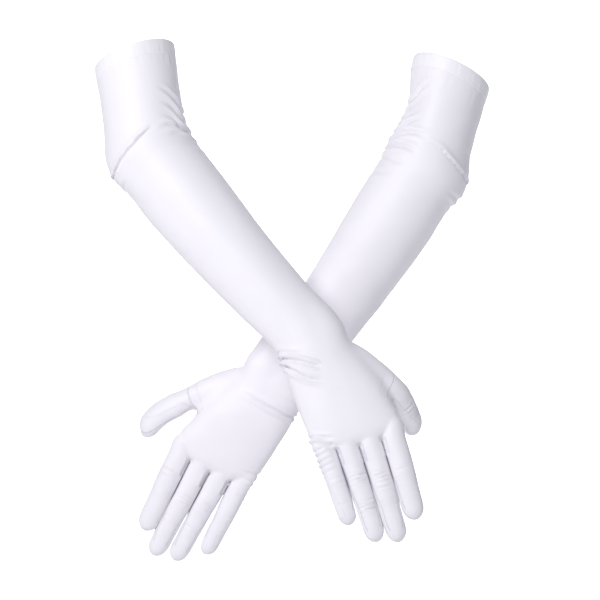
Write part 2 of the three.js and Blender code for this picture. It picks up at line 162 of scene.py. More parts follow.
def turn_about(v, axis, angle):
    """A vector, or rows of them, turned about an axis."""
    c, s = np.cos(angle), np.sin(angle)
    return v * c + np.cross(axis, v) * s + np.multiply.outer(v @ axis, axis) * (1 - c)


def edges_of(quads):
    return np.concatenate([quads[:, [0, 1]], quads[:, [1, 2]], quads[:, [2, 3]], quads[:, [3, 0]]])


def place_object(name, data):
    obj = bpy.data.objects.new(name, data)
    bpy.context.collection.objects.link(obj)
    return obj


def curve_through(table, s):
    """Smoothly interpolated columns of a table whose first column is distance."""
    table = np.asarray(table, float)
    s = np.atleast_1d(np.asarray(s, float))
    x, y = table[:, 0], table[:, 1:]
    slope = np.gradient(y, x, axis=0)
    i = np.clip(np.searchsorted(x, s) - 1, 0, len(x) - 2)
    h = (x[i + 1] - x[i])[:, None]
    t = np.clip((s - x[i])[:, None] / h, 0, 1)
    return hermite(y[i], y[i + 1], slope[i] * h, slope[i + 1] * h, t)


class Limb:
    """A frame on a limb: across points to the thumb, palm to the palm's side, down to the fingertips."""

    def __init__(self, origin, down, palm, side):
        self.origin = np.asarray(origin, float)
        self.down = unit(down)
        self.palm = unit(palm - np.dot(palm, self.down) * self.down)
        self.across = side * np.cross(self.down, self.palm)
        self.side = side

    def at(self, x, y, s):
        """A point in the row frame, in metres, from millimetres across, palmward and down."""
        return self.origin + MM * (x * self.across + y * self.palm + s * self.down)

    def rows(self, x, y, s):
        """The same for arrays of distances: one point in each row."""
        out = np.outer(x, self.across) + np.outer(y, self.palm) + np.outer(s, self.down)
        return self.origin + MM * out

    def local(self, points):
        """Millimetres across, palmward and down, one row for each point."""
        v = (np.asarray(points, float) - self.origin) / MM
        return np.stack([v @ self.across, v @ self.palm, v @ self.down], -1)

    def turned(self, pivot, axis, angle):
        """This frame turned about an axis through a point."""
        origin = pivot + turn_about(self.origin - pivot, axis, angle)
        return Limb(origin, turn_about(self.down, axis, angle), turn_about(self.palm, axis, angle), self.side)


def joint_place(name):
    """Where a joint is, in metres, and its axis."""
    joint = JOINTS[name]
    return np.array(joint["pos_m"], float), unit(joint["axis"])


def hem_centre(side_name):
    """The centre of the arm opening: the middle of the ring of points on the hem's rim."""
    node = frame["nodes"][f"{side_name}_top_hem"]
    points = np.array([v.co for v in node.data.vertices])
    height = points @ unit(MOUNTS[f"{side_name}_hem_rim"]["axis"])
    return points[height > height.max() - 0.00005].mean(0)


class Glove:
    """The frames of one glove, read from its joints."""

    def __init__(self, name):
        self.name = name
        self.side = -1 if name == "left" else 1
        wrist, hand_x = joint_place(f"{name}_wrist")
        elbow, _ = joint_place(f"{name}_elbow")
        self.digits = {}
        for digit, spec in DIGITS.items():
            root, x = joint_place(f"{name}_{digit}_knuckle")
            middle, _ = joint_place(f"{name}_{digit}_middle_joint")
            down = unit(middle - root)
            palm = np.cross(x, down)
            half = spec["width"] / 2 * DIGIT_DEPTH
            base = Limb(root - palm * (half + 0.3) * MM, down, palm, self.side)
            if digit == "thumb":
                hand = self.frame_of_hand(wrist, hand_x)
                base.origin = hand.at(*(hand.local(base.origin[None])[0] + THUMB_NUDGE[name]))
            tip = base.turned(middle, x, math.radians(KNUCKLE_CURL))
            self.digits[digit] = (base, tip)
        self.hand = self.frame_of_hand(wrist, hand_x)
        self.forearm = Limb(elbow, wrist - elbow, self.hand.palm, self.side)
        opening = hem_centre(name)
        self.upper = Limb(opening, elbow - opening, self.forearm.palm, self.side)

    def frame_of_hand(self, wrist, hand_x):
        span = self.digits["middle"][0].origin - wrist
        down = unit(span - np.dot(span, hand_x) * hand_x)
        return Limb(wrist, down, np.cross(hand_x, down), self.side)


# ---- Lofting the skin ----------------------------------------------------------------------------
RING = 72


def ring(limb, s, half_width, half_depth, shift=0.0, slope=0.0, box=2.0):
    """Points of one section of a limb, in the row frame."""
    angle = np.linspace(0, 2 * math.pi, RING, endpoint=False)
    power = 2 / box
    x = half_width * np.sign(np.cos(angle)) * np.abs(np.cos(angle)) ** power
    y = half_depth * np.sign(np.sin(angle)) * np.abs(np.sin(angle)) ** power
    return limb.rows(x + shift, y, s + slope * x)


def section(limb, table, s, shrink=1.0):
    """The ring that a table gives at one distance down a limb."""
    return ring(limb, s, *(curve_through(table, s)[0] * shrink))


def between(a, b, t):
    """A frame part of the way from a to b, with its origin left at a's."""
    return Limb(a.origin, unit(a.down * (1 - t) + b.down * t), a.palm * (1 - t) + b.palm * t, a.side)


def bend_rings(first, second, s_first, s_second, size, count):
    """Rings that turn smoothly from one limb's station to the next limb's."""
    start, end = first.at(0, 0, s_first), second.at(0, 0, s_second)
    reach = np.linalg.norm(end - start)
    rings = []
    for t in np.linspace(0, 1, count + 2)[1:-1]:
        limb = between(first, second, float(smooth(t)))
        limb.origin = hermite(start, end, first.down * reach, second.down * reach, t)
        rings.append(ring(limb, 0, *size(t)))
    return rings


def arm_rings(glove):
    """Sections from just above the arm opening to the knuckles."""
    upper_rings = np.arange(-13, UPPER_ARM - ELBOW_ZONE + 0.1, 3)
    rings = [section(glove.upper, UPPER_SECTIONS, s) for s in upper_rings]

    def elbow_section(t):
        a = curve_through(UPPER_SECTIONS, UPPER_ARM - ELBOW_ZONE * (1 - min(2 * t, 1)))[0]
        b = curve_through(FOREARM_SECTIONS, ELBOW_ZONE * max(2 * t - 1, 0))[0]
        w, d = a * (1 - smooth(t)) + b * smooth(t)
        crown = math.sin(math.pi * t) ** 2
        return w + 2.2 * crown, d + 0.6 * crown, -2.2 * crown

    rings += bend_rings(glove.upper, glove.forearm, UPPER_ARM - ELBOW_ZONE, ELBOW_ZONE, elbow_section, 16)
    for s in np.arange(ELBOW_ZONE, FOREARM - WRIST_ZONE + 0.1, 3):
        w, d = curve_through(FOREARM_SECTIONS, s)[0]
        bow = FOREARM_BOW * math.sin(math.pi * (s - ELBOW_ZONE) / (FOREARM - WRIST_ZONE - ELBOW_ZONE))
        rings.append(ring(glove.forearm, s, w, d, bow))

    def wrist_section(t):
        a = curve_through(FOREARM_SECTIONS, FOREARM - WRIST_ZONE)[0]
        b = curve_through(PALM_SECTIONS, WRIST_ZONE)[0]
        return tuple(a * (1 - smooth(t)) + b * smooth(t))

    rings += bend_rings(glove.forearm, glove.hand, FOREARM - WRIST_ZONE, WRIST_ZONE, wrist_section, 7)
    for s in np.arange(WRIST_ZONE, PALM_END - PALM_ROUNDING, 3):
        rings.append(palm_ring(glove, s, 1))
    for share in (0, 0.3, 0.55, 0.75, 0.9, 0.98):
        s = PALM_END - PALM_ROUNDING * (1 - share)
        rings.append(palm_ring(glove, s, math.sqrt(1 - share * share)))
    return rings


def palm_ring(glove, s, dome):
    """A section of the palm, boxier towards the knuckles; dome shrinks it at the palm's rounded end."""
    w, d = curve_through(PALM_SECTIONS, s)[0]
    share = float(np.clip((s - 15) / 45, 0, 1))
    width = w * (0.8 * dome + 0.2)
    return ring(glove.hand, s, width, d * dome, PALM_SHIFT * share, KNUCKLE_SLOPE * share, 2 + 0.35 * share)


def digit_table(spec):
    """Half width and half depth along a digit, a little fuller at its joints."""
    half, length, knuckle = spec["width"] / 2, spec["length"], spec["knuckle"]
    last = knuckle + (length - knuckle) * 0.48  # the end joint
    profile = [
        (-spec["stub"], 1.0, 1.0),
        (0, 1.045, 1.0),
        (knuckle * 0.55, 1.04, 0.98),
        (knuckle, 1.02, 0.98),
        ((knuckle + last) / 2, 0.985, 0.93),
        (last, 0.965, 0.9),
        (length * 0.9, 0.88, 0.8),
        (length, 0.77, 0.68),
    ]
    return [(s, w * half + PLUMP, d * half * DIGIT_DEPTH + PLUMP) for s, w, d in profile]


def spread_frames(glove, digit):
    """A digit's frames as they stand while the skin is fused, with the fingers held apart."""
    base, tip = glove.digits[digit]
    angle = math.radians(SPREAD.get(digit, 0)) * glove.side
    pivot, axis = base.at(0, 0, SPREAD_PIVOT), glove.hand.palm
    return base.turned(pivot, axis, -angle), tip.turned(pivot, axis, -angle)


def digit_rings(glove, digit):
    """Sections of a digit from inside the palm to its tip."""
    spec = DIGITS[digit]
    base, tip = spread_frames(glove, digit)
    table = digit_table(spec)
    stub, knuckle, length = spec["stub"], spec["knuckle"], spec["length"]
    zone = min(6, knuckle * 0.4)
    rings = []
    for share in (0.98, 0.85, 0.6, 0.3):
        s = -stub * (0.4 + 0.6 * share)
        rings.append(section(base, table, s, math.sqrt(1 - share * share)))
    for s in np.arange(-stub * 0.4, knuckle - zone, 2.5):
        rings.append(section(base, table, s))
    for t in np.linspace(0, 1, 6):
        s = knuckle + zone * (2 * t - 1)
        w, d = curve_through(table, s)[0]
        limb = between(base, tip, float(smooth(t)))
        limb.origin = base.at(0, 0, s) * (1 - smooth(t)) + tip.at(0, 0, s) * smooth(t)
        rings.append(ring(limb, 0, w, d))
    rounding = spec["width"] * 0.5
    for s in np.arange(knuckle + zone + 2, length - rounding, 2.5):
        rings.append(section(tip, table, s))
    for share in (0, 0.25, 0.5, 0.7, 0.85, 0.95, 0.995):
        s = length - rounding * (1 - share)
        rings.append(section(tip, table, s, math.sqrt(1 - share * share)))
    return rings


def thenar_rings(glove):
    """Sections of the ball of the thumb, from the heel of the hand to the thumb's root."""
    heel = glove.hand.at(*THENAR_HEEL)
    mouth = glove.digits["thumb"][0].at(0, 0, 1)
    length = np.linalg.norm(mouth - heel) / MM
    limb = Limb(heel, mouth - heel, glove.hand.palm, glove.side)
    rings = []
    for share in np.linspace(-0.995, 0.995, 26):
        half = THENAR_WIDTH / 2 * (1 - abs(share) ** 2.6) ** (1 / 2.2)
        rings.append(ring(limb, length * (share + 1) / 2, half, 0.95 * half))
    return rings


def loft(rings):
    """Vertices and faces of a closed loft through rings of the same count."""
    count = len(rings)
    verts = np.concatenate(rings + [[rings[0].mean(0)], [rings[-1].mean(0)]])
    i, j = np.meshgrid(np.arange(count - 1), np.arange(RING), indexing="ij")
    k = (j + 1) % RING
    quads = np.stack([i * RING + j, i * RING + k, (i + 1) * RING + k, (i + 1) * RING + j], -1).reshape(-1, 4)
    faces = [tuple(q) for q in quads.tolist()]
    first, last = count * RING, count * RING + 1
    for a in range(RING):
        b = (a + 1) % RING
        faces.append((first, b, a))
        faces.append((last, (count - 1) * RING + a, (count - 1) * RING + b))
    return verts, faces


def mesh_of(name, verts, faces):
    mesh = bpy.data.meshes.new(name)
    mesh.from_pydata([tuple(v) for v in np.asarray(verts).tolist()], [], faces)
    mesh.update()
    return mesh


def fused(glove):
    """The whole glove's skin as one closed mesh of small quads: its points and faces."""
    verts, faces, offset = [], [], 0
    for rings in [arm_rings(glove), thenar_rings(glove)] + [digit_rings(glove, d) for d in DIGITS]:
        v, f = loft(rings)
        verts.append(v)
        faces += [tuple(k + offset for k in face) for face in f]
        offset += len(v)
    mesh = mesh_of(f"{glove.name}_loft", np.concatenate(verts), faces)
    obj = place_object(f"{glove.name}_loft", mesh)
    recalculate_outside(mesh)
    remesh = obj.modifiers.new("fuse", "REMESH")
    remesh.mode = "VOXEL"
    remesh.voxel_size = VOXEL * MM
    evaluated = obj.evaluated_get(bpy.context.evaluated_depsgraph_get())
    out = evaluated.to_mesh()
    points = np.empty(len(out.vertices) * 3)
    out.vertices.foreach_get("co", points)
    quads = np.empty(len(out.loops), int)
    out.loops.foreach_get("vertex_index", quads)
    evaluated.to_mesh_clear()
    bpy.data.objects.remove(obj)
    bpy.data.meshes.remove(mesh)
    return points.reshape(-1, 3), quads.reshape(-1, 4)


def recalculate_outside(mesh):
    """Turns all faces of a closed mesh outwards."""
    bm = bmesh.new()
    bm.from_mesh(mesh)
    bmesh.ops.recalc_face_normals(bm, faces=bm.faces)
    bm.to_mesh(mesh)
    bm.free()


class Skin:
    """One glove's surface while it is being shaped."""

    def __init__(self, points, quads):
        self.points, self.quads = points, quads
        self.a, self.b = edges_of(quads).T
        self.degree = np.bincount(self.a, minlength=len(points)) + np.bincount(self.b, minlength=len(points))

    def average(self, values):
        """The mean of each point's neighbours."""
        out = np.zeros_like(values)
        for k in range(values.shape[1]):
            out[:, k] = np.bincount(self.a, values[self.b, k], len(values))
            out[:, k] += np.bincount(self.b, values[self.a, k], len(values))
        return out / self.degree[:, None]

    def relax(self, steps, weight=1.0, keep_size=True):
        """Smooths the points; weight is one number or one for each point."""
        weight = np.broadcast_to(weight, len(self.points))[:, None]
        for _ in range(steps):
            self.points = self.points + 0.55 * weight * (self.average(self.points) - self.points)
            if keep_size:
                self.points = self.points - 0.56 * weight * (self.average(self.points) - self.points)

    def normals(self):
        p, q = self.points, self.quads
        face = np.cross(p[q[:, 2]] - p[q[:, 0]], p[q[:, 3]] - p[q[:, 1]])
        out = np.zeros_like(p)
        for k in range(4):
            for axis in range(3):
                out[:, axis] += np.bincount(q[:, k], face[:, axis], len(p))
        return out / np.maximum(np.linalg.norm(out, axis=1, keepdims=True), 1e-12)

    def tree(self):
        return BVHTree.FromPolygons([tuple(p) for p in self.points.tolist()], self.quads.tolist())


# ---- Creases -------------------------------------------------------------------------------------
PATH_POINTS = 36


def through(points):
    """Points spaced along a smooth curve through the given ones."""
    points = np.asarray(points, float)
    t = np.linspace(0, len(points) - 1, PATH_POINTS)
    return curve_through(np.column_stack([np.arange(len(points)), points]), t)


class Relief:
    """Creases and folds being laid over a skin: the lift of each point, in millimetres."""

    def __init__(self, skin):
        self.skin, self.tree = skin, skin.tree()
        self.lift = np.zeros(len(skin.points))

    def lay(self, path, profile, reach, ends=0.25, only=None):
        """Adds profile(gap, above) along a path; above is true for points higher than the path."""
        line = np.array([self.tree.find_nearest(Vector(p))[0] for p in through(path)])
        margin = reach * MM
        inside = (self.skin.points > line.min(0) - margin) & (self.skin.points < line.max(0) + margin)
        near = np.where(inside.all(1) if only is None else inside.all(1) & only)[0]
        if not len(near):
            return
        points = self.skin.points[near]
        best, along = np.full(len(near), np.inf), np.zeros(len(near))
        offset = np.zeros((len(near), 3))
        for k in range(len(line) - 1):
            a, d = line[k], line[k + 1] - line[k]
            t = np.clip(((points - a) @ d) / max(d @ d, 1e-12), 0, 1)
            away = points - a - t[:, None] * d
            gap = np.linalg.norm(away, axis=1)
            closer = gap < best
            best[closer], offset[closer] = gap[closer], away[closer]
            along[closer] = (k + t[closer]) / (len(line) - 1)
        start, end = (ends, ends) if np.isscalar(ends) else ends
        fade = smooth(along / max(start, 1e-6)) * smooth((1 - along) / max(end, 1e-6))
        self.lift[near] += fade * profile(best / MM, offset[:, 2] > 0)

    def crease(self, path, width, depth, ridge=0.6, ends=0.25, only=None):
        """A valley with soft ridges on both sides."""

        def profile(gap, above):
            ridges = np.exp(-(((gap - 2.1 * width) / (1.3 * width)) ** 2))
            return depth * (ridge * ridges - np.exp(-((gap / width) ** 2)))

        self.lay(path, profile, 6 * width, ends, only)

    def overlap(self, path, height, ends=0.2):
        """Cloth from above hanging over the cloth below: a soft roll that ends in a sharp step."""

        def profile(gap, above):
            roll = np.exp(-(((gap - 1.2) / 3.2) ** 2))
            tuck = -0.75 * np.exp(-((gap / 1.7) ** 2)) - 0.2 * np.exp(-((gap / 6) ** 2))
            return height * np.where(above, roll, tuck)

        self.lay(path, profile, 14, ends)


def spot(limb, table, turn, s):
    """A point on a limb: turn is 0 on its back, 90 at the thumb's side and -90 at the other."""
    w, d = curve_through(table, s)[0]
    turn = math.radians(turn)
    return limb.at(w * math.sin(turn), -d * math.cos(turn), s)


def on_back(limb, table, x, s, face=-1):
    """A point x millimetres across on a limb's back (face -1) or on its palm side (face +1)."""
    w, d = curve_through(table, s)[0]
    share = max(-1.0, min(1.0, x / w))
    return limb.at(x, face * d * math.sqrt(1 - share * share), s)


def round_the_side(limb, table, points):
    """A path over the back to a limb's edge and back again over its palm side."""
    over = [on_back(limb, table, x, s) for x, s in points]
    x, s = points[-1]
    under = [on_back(limb, table, x, s + 1.5, 1) for x, s in reversed(points)]
    return over + [spot(limb, table, math.copysign(90, x), s + 2)] + under


CROOK_FOLDS = {  # (across, down) along each fold from the middle of the sleeve to its edge, then depth
    "right": [
        ([(10, 33), (24, 42), (31, 50), (35, 58)], 1.2),
        ([(12, 49), (25, 55), (32, 65), (36, 71)], 1.4),
        ([(12, 62), (25, 67), (32, 76), (37, 80)], 1.3),
        ([(8, 79), (21, 74), (31, 77), (37, 84)], 1.7),
    ],
    "left": [
        ([(14, 14), (24, 22), (31, 31), (36, 36)], 1.2),
        ([(20, 44), (31, 50), (36, 52)], 1.3),
        ([(16, 51), (27, 56), (35, 66)], 1.9),
        ([(2, 70), (17, 66), (29, 68), (37, 76)], 2.0),
        ([(10, 86), (20, 81), (32, 80), (39, 84)], 2.1),
    ],
}
ELBOW_OVERLAP = {  # (across, down) from beyond the elbow's point up to the middle of the sleeve
    "right": [(-34.5, 109), (-32.5, 106), (-21.9, 95.6), (-11.3, 86.9), (1.2, 76.8), (7, 72)],
    "left": [(-37.9, 93), (-32.9, 89.4), (-19.9, 81.5), (-6.2, 73.6), (10.6, 70.6)],
}
JOINT_WRINKLES = {  # how far along the finger, spacing and depth of the wrinkles over each joint
    "index": [(0.42, 2.6, 0.3), (0.66, 2.3, 0.2)],
    "middle": [(0.34, 3.4, 0.55), (0.58, 2.5, 0.42)],
    "ring": [(0.31, 2.8, 0.55), (0.6, 2.6, 0.5)],
    "little": [(0.42, 2.4, 0.3), (0.66, 2.2, 0.25)],
    "thumb": [(0.45, 2.4, 0.35)],
}


def elbow_relief(glove, relief):
    """The folds in the crook, the overlap across the elbow's back, and creases just below it."""
    upper, fore = glove.upper, glove.forearm
    name = glove.name
    for points, depth in CROOK_FOLDS[name]:
        relief.crease(round_the_side(upper, UPPER_SECTIONS, points), 1.9, depth, 0.85, 0.22)
    path = [upper.at(x, -36 * math.sqrt(max(0.0, 1 - (x / 38) ** 2)), s) for x, s in ELBOW_OVERLAP[name]]
    s = ELBOW_OVERLAP[name][0][1]
    behind = [upper.at(-10, 36, s - 8), upper.at(-30, 22, s)]
    relief.overlap(behind + path, 1.4, (0.3, 0.24))
    depth = 0.8 if name == "left" else 0.3
    for points in ([(-24, 6.4), (-34, 7), (-39, 6)], [(-30, 13), (-36, 14.5), (-39, 15)]):
        relief.crease(round_the_side(fore, FOREARM_SECTIONS, points), 1.7, depth, 0.9)
    for x, s, drop, depth in ((14, 10, 3, 0.7), (20, 24, 5, 0.45)):
        points = [(x, s), (x + 10, s + drop * 0.3), (37, s + drop)]
        relief.crease(round_the_side(fore, FOREARM_SECTIONS, points), 2.0, depth, 0.7)


def gather_relief(glove, relief):
    """Short, shallow pleats where the elastic draws the cloth in below the hem."""
    for k in range(18):
        turn = 360 * (k + 0.5 * rng.random()) / 18
        front = abs((turn + 180) % 360 - 180) < 60
        strong = 0.4 if front else 1.0  # tighter, smoother cloth at the front
        x, y = math.sin(math.radians(turn)), -math.cos(math.radians(turn))
        end = HEM_DEPTH + 8 + 12 * rng.random()
        points = []
        for s in (HEM_DEPTH - 4, (HEM_DEPTH + end) / 2, end):
            w, d = curve_through(UPPER_SECTIONS, s)[0]
            points.append(glove.upper.at(w * x, d * y, s - SLOPE_ACROSS * x * w - SLOPE_FRONT * y * d))
        relief.crease(points, 1.7, strong * (0.2 + 0.25 * rng.random()), 0.5, 0.4)


def on_hand(glove, points, face=-1):
    """A path over the back of the hand (face -1) or over the palm (face +1)."""
    return [on_back(glove.hand, PALM_SECTIONS, x, s, face) for x, s in points]


def beside_hand(glove, *places):
    """Points round the hand's sides, each given as its turn and distance below the wrist."""
    return [spot(glove.hand, PALM_SECTIONS, turn, max(s, 0)) for turn, s in places]


def wrist_relief(glove, relief):
    """Folds that run over the back of the wrist from the little finger's side, and shallow ones inside."""

    def back(points, depth):
        s = points[0][1]
        start = beside_hand(glove, (-125, s - 2), (-95, s - 1))
        relief.crease(start + on_hand(glove, points), 1.5, depth, 0.9, (0.15, 0.2))

    if glove.name == "right":
        back([(-30, 11), (-20, 21), (-10, 30), (-2, 35)], 2.1)
        back([(-31, 18), (-27, 27), (-18, 40), (-5, 49)], 2.2)
        back([(-29, 5), (-22, 12), (-14, 17)], 0.9)
    else:
        path = on_hand(glove, [(25, 35), (5, 33), (-14, 30.5), (-25, 28.5), (-30, 26)])
        relief.crease(path + beside_hand(glove, (-110, 24)), 1.4, 1.5, 1.1, (0.3, 0.12))
        back([(-29, 22), (-20, 25), (-8, 29)], 0.5)
        back([(-28, 12), (-18, 17), (-6, 19)], 0.35)
    for x_from, x_to, s, depth in ((-26, 14, 4, 0.5), (-18, 26, 12, 0.6), (-28, 6, 21, 0.45)):
        middle = (x_from + x_to) / 2
        spots = ((x_from, s), (middle, s + 3), (x_to, s + 1))
        relief.crease(on_hand(glove, spots, 1), 1.7, depth)


def hand_relief(glove, relief):
    """The valleys between the fingers' roots, the lines of the palm and two folds by the little finger."""
    for first, second in NEIGHBOURS:
        near, far = glove.digits[first][0], glove.digits[second][0]
        out = 0.35 * (DIGITS[first]["width"] + DIGITS[second]["width"]) / 2
        for face, lengths, depth in ((-1, (-7, -1, 6, 13), 2.3), (1, (-2, 4, 10), 1.6)):
            path = [(near.at(0, face * out, s) + far.at(0, face * out, s)) / 2 for s in lengths]
            relief.crease(path, 1.5, depth, 0.25, (0.5, 0.1))
    relief.crease(on_hand(glove, [(29, 84), (13, 78), (4, 60), (2, 40)], 1), 2.0, 0.7)
    relief.crease(on_hand(glove, [(31, 88), (8, 80), (-16, 72), (-32, 66)], 1), 1.9, 0.55)
    relief.crease(on_hand(glove, [(-35, 88), (-16, 92), (4, 98), (16, 103)], 1), 1.9, 0.55)
    if glove.name == "right":
        folds, depth = [[(-34, 89), (-25, 95), (-14, 100)], [(-35, 95), (-27, 101), (-16, 108)]], 0.95
    else:
        folds, depth = [[(-36, 88), (-26, 92), (-14, 92)], [(-36, 96), (-28, 98), (-20, 98)]], 0.6
    for points in folds:
        edge = beside_hand(glove, (-120, points[0][1] - 1))
        relief.crease(edge + on_hand(glove, points), 1.3, depth, 0.9, (0.15, 0.35))


def finger_relief(glove, relief):
    """Wrinkles over the fingers' joints, and stronger ones beside the little finger's root."""
    owner = root_distance(glove, relief.skin.points)
    strong = 1.9 if glove.name == "right" else 1.0
    for digit, spec in DIGITS.items():
        base, tip = glove.digits[digit]
        table = digit_table(spec)
        length = spec["length"]
        mine = owner[digit] > -12
        for joint, spacing, depth in JOINT_WRINKLES[digit]:
            for k in range(-2, 3):
                s = joint * length + k * spacing + rng.uniform(-0.5, 0.5)
                limb = base if s < spec["knuckle"] else tip
                start, end = sorted((rng.uniform(-80, -30), rng.uniform(20, 75)))
                lean = rng.uniform(-1.2, 1.2)
                turns = (start, (start + end) / 2, end)
                path = [spot(limb, table, turn, s + lean * t) for turn, t in zip(turns, (-0.5, 0, 0.5))]
                share = rng.uniform(0.6, 1.2) * (1 if abs(k) < 2 else 0.6)
                relief.crease(path, 0.8, strong * depth * share, 0.7, 0.35, mine)
            limb = base if joint * length < spec["knuckle"] else tip
            path = [spot(limb, table, turn, joint * length) for turn in (110, 180, 250)]
            relief.crease(path, 1.2, depth, 0.5, 0.35, mine)
        if digit != "thumb":
            relief.crease([spot(base, table, turn, 2) for turn in (115, 180, 245)], 1.4, 0.7, only=mine)
    little = glove.digits["little"][0]
    table = digit_table(DIGITS["little"])
    strong = 1.3 if glove.name == "right" else 0.35
    for s, depth in ((-4, 0.6), (1, 0.6), (6.5, 0.8), (11.7, 0.7), (17.5, 0.5)):
        turns = ((-125, 1), (-80, 0.5), (-30, 0), (35, -0.5))
        path = [spot(little, table, turn, s + drop) for turn, drop in turns]
        relief.crease(path, 0.95, strong * depth, 0.8, (0.2, 0.3), owner["little"] > -12)
    if glove.name == "left":
        index = glove.digits["index"][0]
        table = digit_table(DIGITS["index"])
        for s, depth in ((13.5, 0.8), (19.5, 0.5)):
            path = [spot(index, table, turn, s) for turn in (95, 50, 0, -50)]
            relief.crease(path, 0.9, depth, 0.8, (0.15, 0.3), owner["index"] > -12)


def fullness(glove, skin, relief):
    """Broad shapes: the elbow's point, the left sleeve's waist, the right ball of the thumb, the wrist."""

    def bulge(centre, height, radius):
        gap = np.linalg.norm(skin.points - centre, axis=1) / MM
        relief.lift += height * np.exp(-((gap / radius) ** 2))

    bulge(glove.forearm.at(-36, -8, 1), 2.2, 11)
    if glove.name == "left":
        x, _, s = glove.upper.local(skin.points).T
        relief.lift -= 5.5 * np.exp(-(((s - 36) / 22) ** 2)) * smooth((x - 8) / 26)
    else:
        bulge(glove.hand.at(63, 8, 66), 4, 22)
    x, _, s = glove.hand.local(skin.points).T
    height = 6.0 if glove.name == "left" else 2.5
    relief.lift += height * smooth((s + 50) / 40) * smooth((30 - s) / 24) * smooth((x - 4) / 22)


def undulation(points, seed):
    """Broad, very shallow unevenness of cloth over an arm, in millimetres."""
    local = np.random.default_rng(seed)
    total = np.zeros(len(points))
    for _ in range(14):
        direction = unit(local.standard_normal(3))
        wave = 2 * math.pi / (local.uniform(18, 60) * MM)
        total += local.uniform(0.4, 1.0) * np.sin(points @ direction * wave + local.uniform(0, 6.28))
    return 0.06 * total


# ---- Seams and strips, as fields that the material reads -------------------------------------------
def cloth_fields(glove, points):
    """For each point: distance to the nearest seam, distance along it, and how much it is a strip."""
    gap = np.full(len(points), FAR_FROM_SEAMS)
    along = np.zeros(len(points))
    strip = np.zeros(len(points))

    def offer(mask, distance, length):
        """Takes a seam where it is nearer than those before."""
        closer = mask & (np.abs(distance) < np.abs(gap))
        gap[closer] = distance[closer]
        along[closer] = length[closer]

    def mark_strip(mask, inside):
        """Marks as strip the points that lie further inside its edges than zero."""
        strip[mask] = np.maximum(strip[mask], smooth(inside[mask] / 0.8 + 0.5))

    hand = glove.hand.local(points)
    root = root_distance(glove, points)
    for digit, sides in (("index", [-1]), ("middle", [-1, 1]), ("ring", [-1, 1]), ("little", [1])):
        base, _ = glove.digits[digit]
        x, y, s = base.local(points).T
        spec = DIGITS[digit]
        mine = (root[digit] > -0.5) & (np.abs(x) < spec["width"] * 0.62)
        half = STRIP_HALF * (1 - 0.5 * smooth((s - spec["length"] + 34) / 20))
        for side in sides:
            facing = mine & (x * side > spec["width"] * 0.18) & (s < spec["length"] - 10)
            offer(facing, np.abs(y) - half, s)
            mark_strip(facing, half - np.abs(y))
    for first, second in NEIGHBOURS:
        web_x, web_s = web_place(glove, first, second)
        past = hand[:, 2] - web_s
        near = (np.abs(hand[:, 0] - web_x) < 7) & (past > -WEB_ABOVE) & (past < 8)
        near &= np.maximum(root[first], root[second]) <= -0.5
        offer(near, np.abs(hand[:, 1]) - STRIP_HALF, hand[:, 0])
        mark_strip(near, STRIP_HALF - np.abs(hand[:, 1]))
    base, _ = glove.digits["thumb"]
    x, y, s = base.local(points).T
    around = (np.hypot(x, y) < 21) & (s > -26)
    offer(around, s + THUMB_SEAM + 0.18 * x, np.arctan2(y, x) * 13)
    offer(around & (s > -THUMB_SEAM) & (x < 0), y - 1.5, s)
    # The long side seam, on the little finger's side and a little towards the palm.
    stretches = ((glove.upper, -5, UPPER_ARM), (glove.forearm, 0, FOREARM), (glove.hand, 0, PALM_END - 10))
    for limb, start, end in stretches:
        x, y, s = limb.local(points).T
        offer((x < -14) & (s > start) & (s <= end), y - 6, s)
    base, _ = glove.digits["little"]
    x, y, s = base.local(points).T
    offer((root["little"] > -0.5) & (x < -3) & (s < 60), y - 4, s)
    return np.stack([gap, along, strip], -1)


def web_place(glove, first, second):
    """How far across and down the hand the web between two neighbouring fingers lies."""
    centre = (glove.digits[first][0].origin + glove.digits[second][0].origin) / 2
    return glove.hand.local(centre)[[0, 2]]


def painted_shade_between_fingers(glove, points):
    """Painted shade: 1 for points deep in the narrow gap between two neighbouring fingers, falling to 0 away from
    it.
    """
    shade = np.zeros(len(points))
    for first, second in NEIGHBOURS:
        a, b = glove.digits[first][0].local(points), glove.digits[second][0].local(points)
        from_first = np.hypot(a[:, 0], a[:, 1]) - DIGITS[first]["width"] / 2
        from_second = np.hypot(b[:, 0], b[:, 1]) - DIGITS[second]["width"] / 2
        s = (a[:, 2] + b[:, 2]) / 2
        middle = smooth((1.7 - np.abs(from_first - from_second)) / 1.3) * (from_first < 6)
        shade = np.maximum(shade, middle * smooth((s + 4) / 3) * smooth((44 - s) / 18))
    return shade


def root_distance(glove, points):
    """How far each point lies past the root of each digit, in millimetres; NOT_HERE on other digits."""
    past, off_axis = {}, []
    for digit, (base, _) in glove.digits.items():
        x, y, s = base.local(points).T
        radius = np.hypot(x, y)
        reach = DIGITS[digit]["width"] * (1.05 if digit != "thumb" else 0.85)
        here = (radius < reach) & (s < DIGITS[digit]["length"] + 8)
        past[digit] = np.where(here, s, NOT_HERE)
        off_axis.append(np.where(past[digit] > -90, radius, np.inf))
    nearest = np.argmin(np.stack(off_axis), 0)
    return {digit: np.where(nearest == k, s, NOT_HERE) for k, (digit, s) in enumerate(past.items())}


